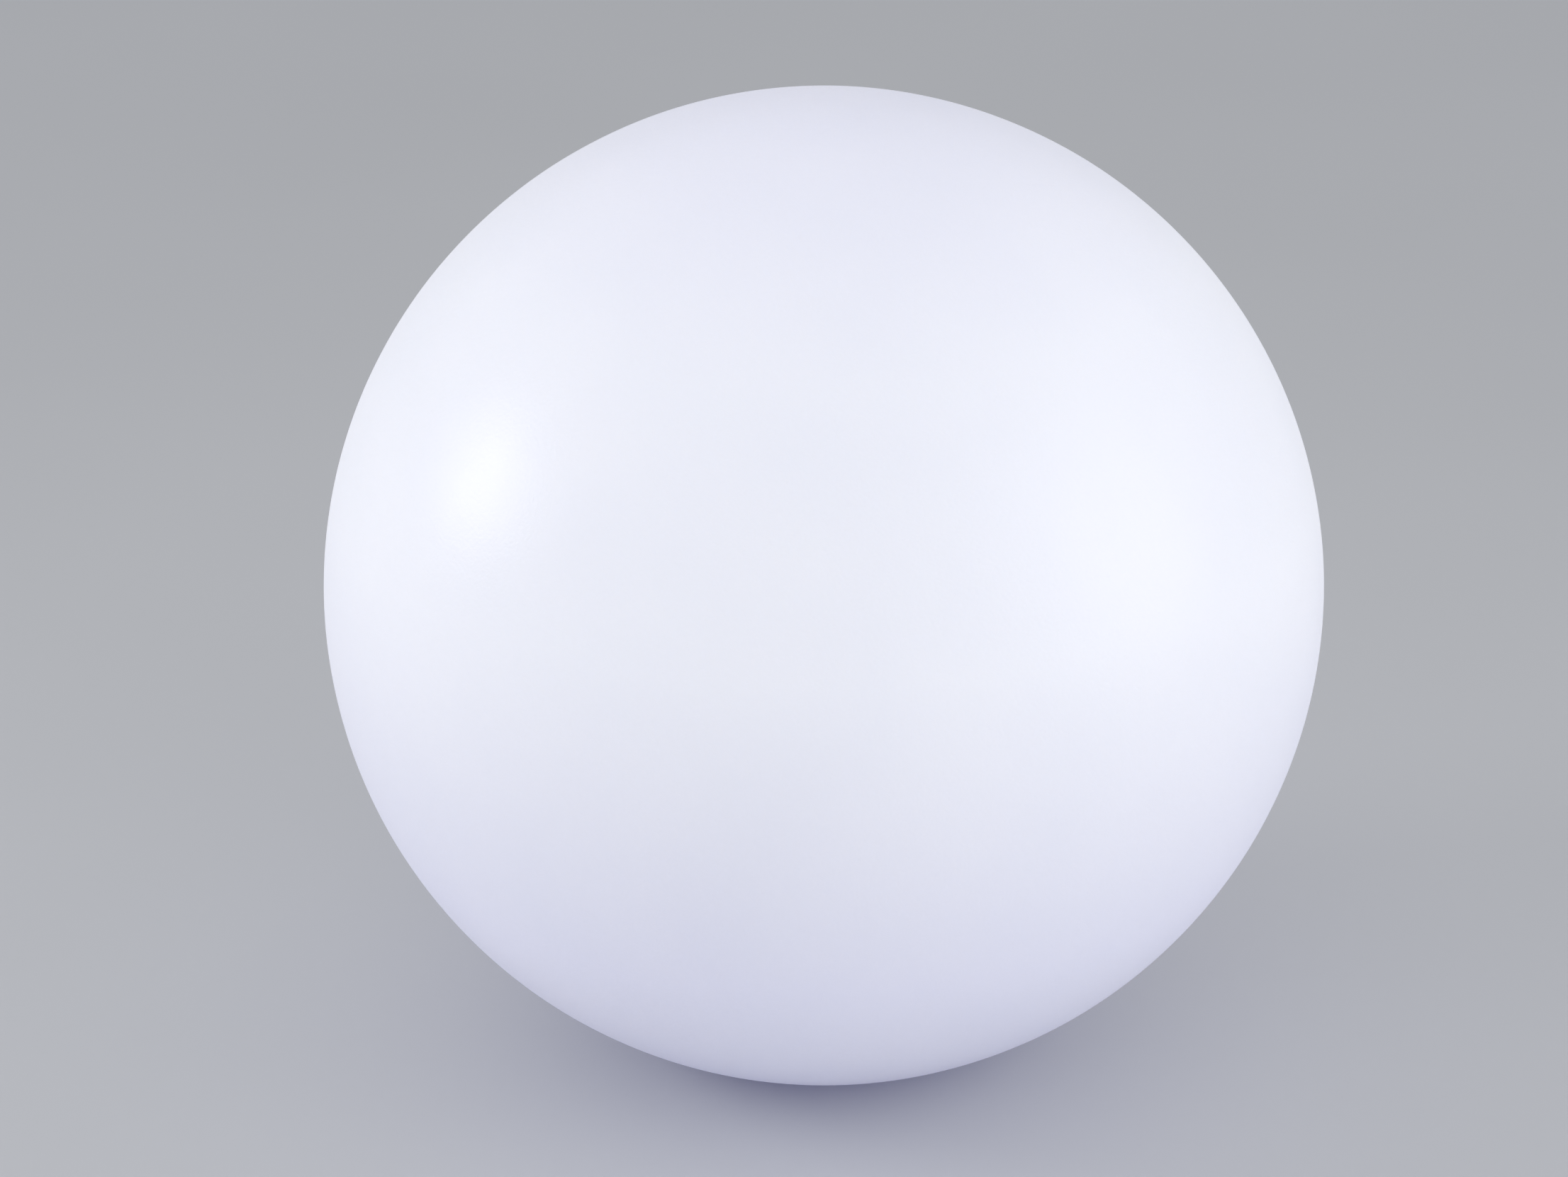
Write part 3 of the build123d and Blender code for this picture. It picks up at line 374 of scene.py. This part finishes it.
def add_piece(name, mesh, slot):
    """Puts a mesh in the scene as a smooth-shaded piece that rides on the lamp's body."""
    mesh.polygons.foreach_set("use_smooth", [True] * len(mesh.polygons))
    mesh.set_sharp_from_angle(angle=SHARP_EDGE)
    mesh.materials.append(FINISHES[slot])
    piece = bpy.data.objects.new(name, mesh)
    scene.collection.objects.link(piece)
    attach(piece, "lamp_body")
    return piece


# ==== Globe ====
ROUND = 320  # steps round the ball
OUTSIDE_STEPS = 220  # from the ball's top down to its foot
INSIDE_STEPS = 60
ROUNDING_STEPS = 4
ON_AXIS = 1e-7  # nearer the axis than this, a ring is one point
BOSS_SIDES = 48
OUTSIDE_BAND = 0.01 * MM  # points this close to the ball's radius are on its outside
RELIEF = 0.06 * MM  # how deep the moulded skin's slow waves are
RELIEF_PERIOD = 55 * MM
RELIEF_FADE = 30 * MM  # the waves fade out over this height, towards the foot
SKIN_INSET = 0.02 * MM  # keeps the skin inside the CAD's faceted ball


def arc(radius, first, last, steps):
    """Points (distance from the axis, height) of a circle about the ball's centre."""
    angles = [first + (last - first) * i / steps for i in range(steps + 1)]
    return [(radius * sin(a), CENTRE_Z + radius * cos(a)) for a in angles]


def rounded(corner, before, after, size):
    """A corner of the profile rounded by a curve that starts and ends size away from it."""
    corner, before, after = Vector(corner), Vector(before), Vector(after)
    start = corner + (before - corner).normalized() * size
    end = corner + (after - corner).normalized() * size
    turns = [i / ROUNDING_STEPS for i in range(ROUNDING_STEPS + 1)]
    points = [start * (1 - t) ** 2 + corner * 2 * t * (1 - t) + end * t**2 for t in turns]
    return [tuple(p) for p in points]


def globe_profile():
    """The wall's closed outline, from the top pole down outside and back up inside."""
    foot_angle = pi - asin(FOOT_RADIUS / GLOBE_RADIUS)
    inner = GLOBE_RADIUS - WALL
    cavity_edge = MOUTH_RADIUS + WALL
    outer = arc(GLOBE_RADIUS, 0, foot_angle, OUTSIDE_STEPS)
    foot = (FOOT_RADIUS, 0)
    mouth = (MOUTH_RADIUS, 0)
    seat_corner = (RECESS_RADIUS, SEAT_Z)
    lip_low, lip_high = (OPENING_RADIUS, SEAT_Z), (OPENING_RADIUS, SEAT_TOP_Z)
    shoulder = (RECESS_RADIUS + WALL, SEAT_TOP_Z)
    cavity = arc(inner, pi - asin(cavity_edge / inner), 0, INSIDE_STEPS)
    return [
        *outer[:-1],
        *rounded(foot, outer[-2], mouth, FOOT_ROUNDING),
        *rounded(mouth, foot, seat_corner, MOUTH_ROUNDING),
        *rounded(seat_corner, mouth, lip_low, SEAT_ROUNDING),
        *rounded(lip_low, seat_corner, lip_high, LIP_ROUNDING),
        *rounded(lip_high, lip_low, shoulder, LIP_ROUNDING),
        *rounded(shoulder, lip_high, cavity[0], SHOULDER_ROUNDING),
        *cavity,
    ]


def spun(name, profile, steps):
    """A mesh turned about the axis. The profile starts and ends on the axis."""
    form = bmesh.new()
    rings = []
    for reach, height in profile:
        if reach < ON_AXIS:
            rings.append([form.verts.new((0, 0, height))])
            continue
        turns = [2 * pi * i / steps for i in range(steps)]
        rings.append([form.verts.new((reach * cos(t), reach * sin(t), height)) for t in turns])
    for upper, lower in zip(rings, rings[1:]):
        for i in range(steps):
            j = (i + 1) % steps
            corners = [upper[i % len(upper)], lower[i % len(lower)],
                       lower[j % len(lower)], upper[j % len(upper)]]
            form.faces.new(list(dict.fromkeys(corners)))
    form.normal_update()
    return finished_mesh(name, form)


def add_globe():
    """The ball's wall, with the slow, shallow waves of a moulded skin on its outside."""
    mesh = spun("globe_wall", globe_profile(), ROUND)
    centre = Vector((0, 0, CENTRE_Z))
    for vertex in mesh.vertices:
        out = vertex.co - centre
        if out.length > GLOBE_RADIUS - OUTSIDE_BAND:
            wave = noise.fractal(vertex.co / RELIEF_PERIOD, 1.0, 2.0, 2)
            fade = min(1.0, max(0.0, vertex.co.z / RELIEF_FADE))
            depth = SKIN_INSET + RELIEF * fade * min(1.0, max(0.0, 0.5 + wave))
            vertex.co -= out.normalized() * depth
    globe = add_piece("globe_wall", mesh, "globe_pe")
    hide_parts("globe")


def boss_ring(form, centre, radius, height, hexagon=False):
    """A ring of points about a boss's axis: round, or six-sided with its corners at radius."""
    x, y = centre
    points = []
    for i in range(BOSS_SIDES):
        a = 2 * pi * i / BOSS_SIDES
        reach = radius
        if hexagon:
            reach = radius * cos(pi / 6) / cos((a + pi / 6) % (pi / 3) - pi / 6)
        points.append(form.verts.new((x + reach * cos(a), y + reach * sin(a), height)))
    return points


def add_insert_bosses():
    """Round bosses above the seat, each with a six-sided pocket for its brass insert."""
    form = bmesh.new()
    low, high = SEAT_TOP_Z - BOSS_SUNK, SEAT_TOP_Z + BOSS_HEIGHT
    for boss in range(BOSS_COUNT):
        turn = BOSS_FIRST_TURN + 2 * pi * boss / BOSS_COUNT
        centre = (BOSS_CIRCLE * cos(turn), BOSS_CIRCLE * sin(turn))
        rings = [
            boss_ring(form, centre, POCKET_RADIUS, low, hexagon=True),
            boss_ring(form, centre, BOSS_RADIUS, low),
            boss_ring(form, centre, BOSS_RADIUS, high - BOSS_ROUNDING),
            boss_ring(form, centre, BOSS_RADIUS - 0.3 * BOSS_ROUNDING, high - 0.3 * BOSS_ROUNDING),
            boss_ring(form, centre, BOSS_RADIUS - BOSS_ROUNDING, high),
        ]
        for inner, outer in zip(rings, rings[1:]):
            join_rings(form, inner, outer)
        form.faces.new(rings[-1])
        pocket_roof = boss_ring(form, centre, POCKET_RADIUS, high - BOSS_ROOF, hexagon=True)
        join_rings(form, pocket_roof, rings[0])
        form.faces.new(list(reversed(pocket_roof)))
    bmesh.ops.recalc_face_normals(form, faces=form.faces)
    add_piece("globe_insert_bosses", finished_mesh("globe_insert_bosses", form), "globe_pe")


def add_button_spring():
    """A coil spring with closed ends, in the place of the CAD's button spring."""
    low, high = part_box("button_spring")
    x, y = (low[0] + high[0]) / 2, (low[1] + high[1]) / 2
    reach = (high[0] - low[0]) / 2 - SPRING_WIRE
    first, last = low[2] + SPRING_WIRE, high[2] - SPRING_WIRE
    steps, sides = 200, 12
    form = bmesh.new()
    rings = []
    for step in range(steps + 1):
        turn = SPRING_TURNS * step / steps
        climb = (turn - SPRING_END_TURNS) / (SPRING_TURNS - 2 * SPRING_END_TURNS)
        height = first + (last - first) * min(1.0, max(0.0, climb))
        out = Vector((cos(2 * pi * turn), sin(2 * pi * turn), 0))
        middle = Vector((x, y, height)) + reach * out
        ring = []
        for side in range(sides):
            a = 2 * pi * side / sides
            ring.append(form.verts.new(middle + SPRING_WIRE * (cos(a) * out + Vector((0, 0, sin(a))))))
        rings.append(ring)
    for before, after in zip(rings, rings[1:]):
        join_rings(form, before, after)
    form.faces.new(rings[0])
    form.faces.new(list(reversed(rings[-1])))
    bmesh.ops.recalc_face_normals(form, faces=form.faces)
    spring = add_piece("button_spring_coil", finished_mesh("button_spring_coil", form), "spring_steel")
    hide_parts("button_spring")
    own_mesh(spring)


add_globe()
add_insert_bosses()
add_button_spring()


# ==== Floor and light ====
FLOOR_RADIUS = 25.0
FLOOR_MOTTLE = 0.5
SOFTBOX_SPREAD = radians(110)
SKY_TINT = (0.93, 0.95, 1.0, 1)


def add_floor():
    """A plain pale floor that runs out to a soft horizon."""
    form = bmesh.new()
    bmesh.ops.create_circle(form, cap_ends=True, segments=96, radius=FLOOR_RADIUS)
    mesh = finished_mesh("floor", form)
    m = Nodes("floor")
    shades = [(0.3, (0.72, 0.725, 0.735)), (0.7, (0.75, 0.755, 0.765))]
    m.link(m.colours(m.noise(FLOOR_MOTTLE, detail=2), shades), m.shader.inputs["Base Color"])
    m.set(Roughness=0.55)
    mesh.materials.append(m.material)
    floor = bpy.data.objects.new("floor", mesh)
    scene.collection.objects.link(floor)


def add_softbox(name, direction, distance, width, height, power, shape="RECTANGLE"):
    """A soft flat light that faces the ball from the given direction."""
    data = bpy.data.lights.new(name, "AREA")
    data.shape = shape
    data.size, data.size_y = width, height
    data.energy = power
    data.spread = SOFTBOX_SPREAD
    light = bpy.data.objects.new(name, data)
    scene.collection.objects.link(light)
    way = Vector(direction).normalized()
    light.location = Vector((0, 0, CENTRE_Z)) + way * distance
    light.rotation_mode = "QUATERNION"
    light.rotation_quaternion = (-way).to_track_quat("-Z", "Y")


def add_sky(zenith, front, back):
    """Soft light from all round: one brightness overhead, one on either side of the horizon."""
    world = bpy.data.worlds.new("studio")
    world.use_nodes = True
    tree = world.node_tree
    background = tree.nodes["Background"]
    place = tree.nodes.new("ShaderNodeTexCoord")
    way = tree.nodes.new("ShaderNodeSeparateXYZ")
    tree.links.new(place.outputs["Generated"], way.inputs["Vector"])
    side = tree.nodes.new("ShaderNodeMapRange")
    side.inputs["From Min"].default_value = -1
    side.inputs["From Max"].default_value = 1
    side.inputs["To Min"].default_value = front
    side.inputs["To Max"].default_value = back
    tree.links.new(way.outputs["Y"], side.inputs["Value"])
    height = tree.nodes.new("ShaderNodeMapRange")
    height.inputs["To Max"].default_value = zenith
    tree.links.new(way.outputs["Z"], height.inputs["Value"])
    tree.links.new(side.outputs["Result"], height.inputs["To Min"])
    background.inputs["Color"].default_value = SKY_TINT
    tree.links.new(height.outputs["Result"], background.inputs["Strength"])
    scene.world = world


add_floor()
add_softbox("left_softbox", direction=(-0.935, -0.01, 0.32), distance=1.5,
            width=0.6, height=0.58, power=1.38, shape="ELLIPSE")
add_softbox("right_softbox", direction=(0.87, -0.38, 0.31), distance=1.3,
            width=1.1, height=1.0, power=1.3)
add_sky(zenith=0.62, front=0.55, back=0.24)
scene.view_settings.view_transform = "Standard"
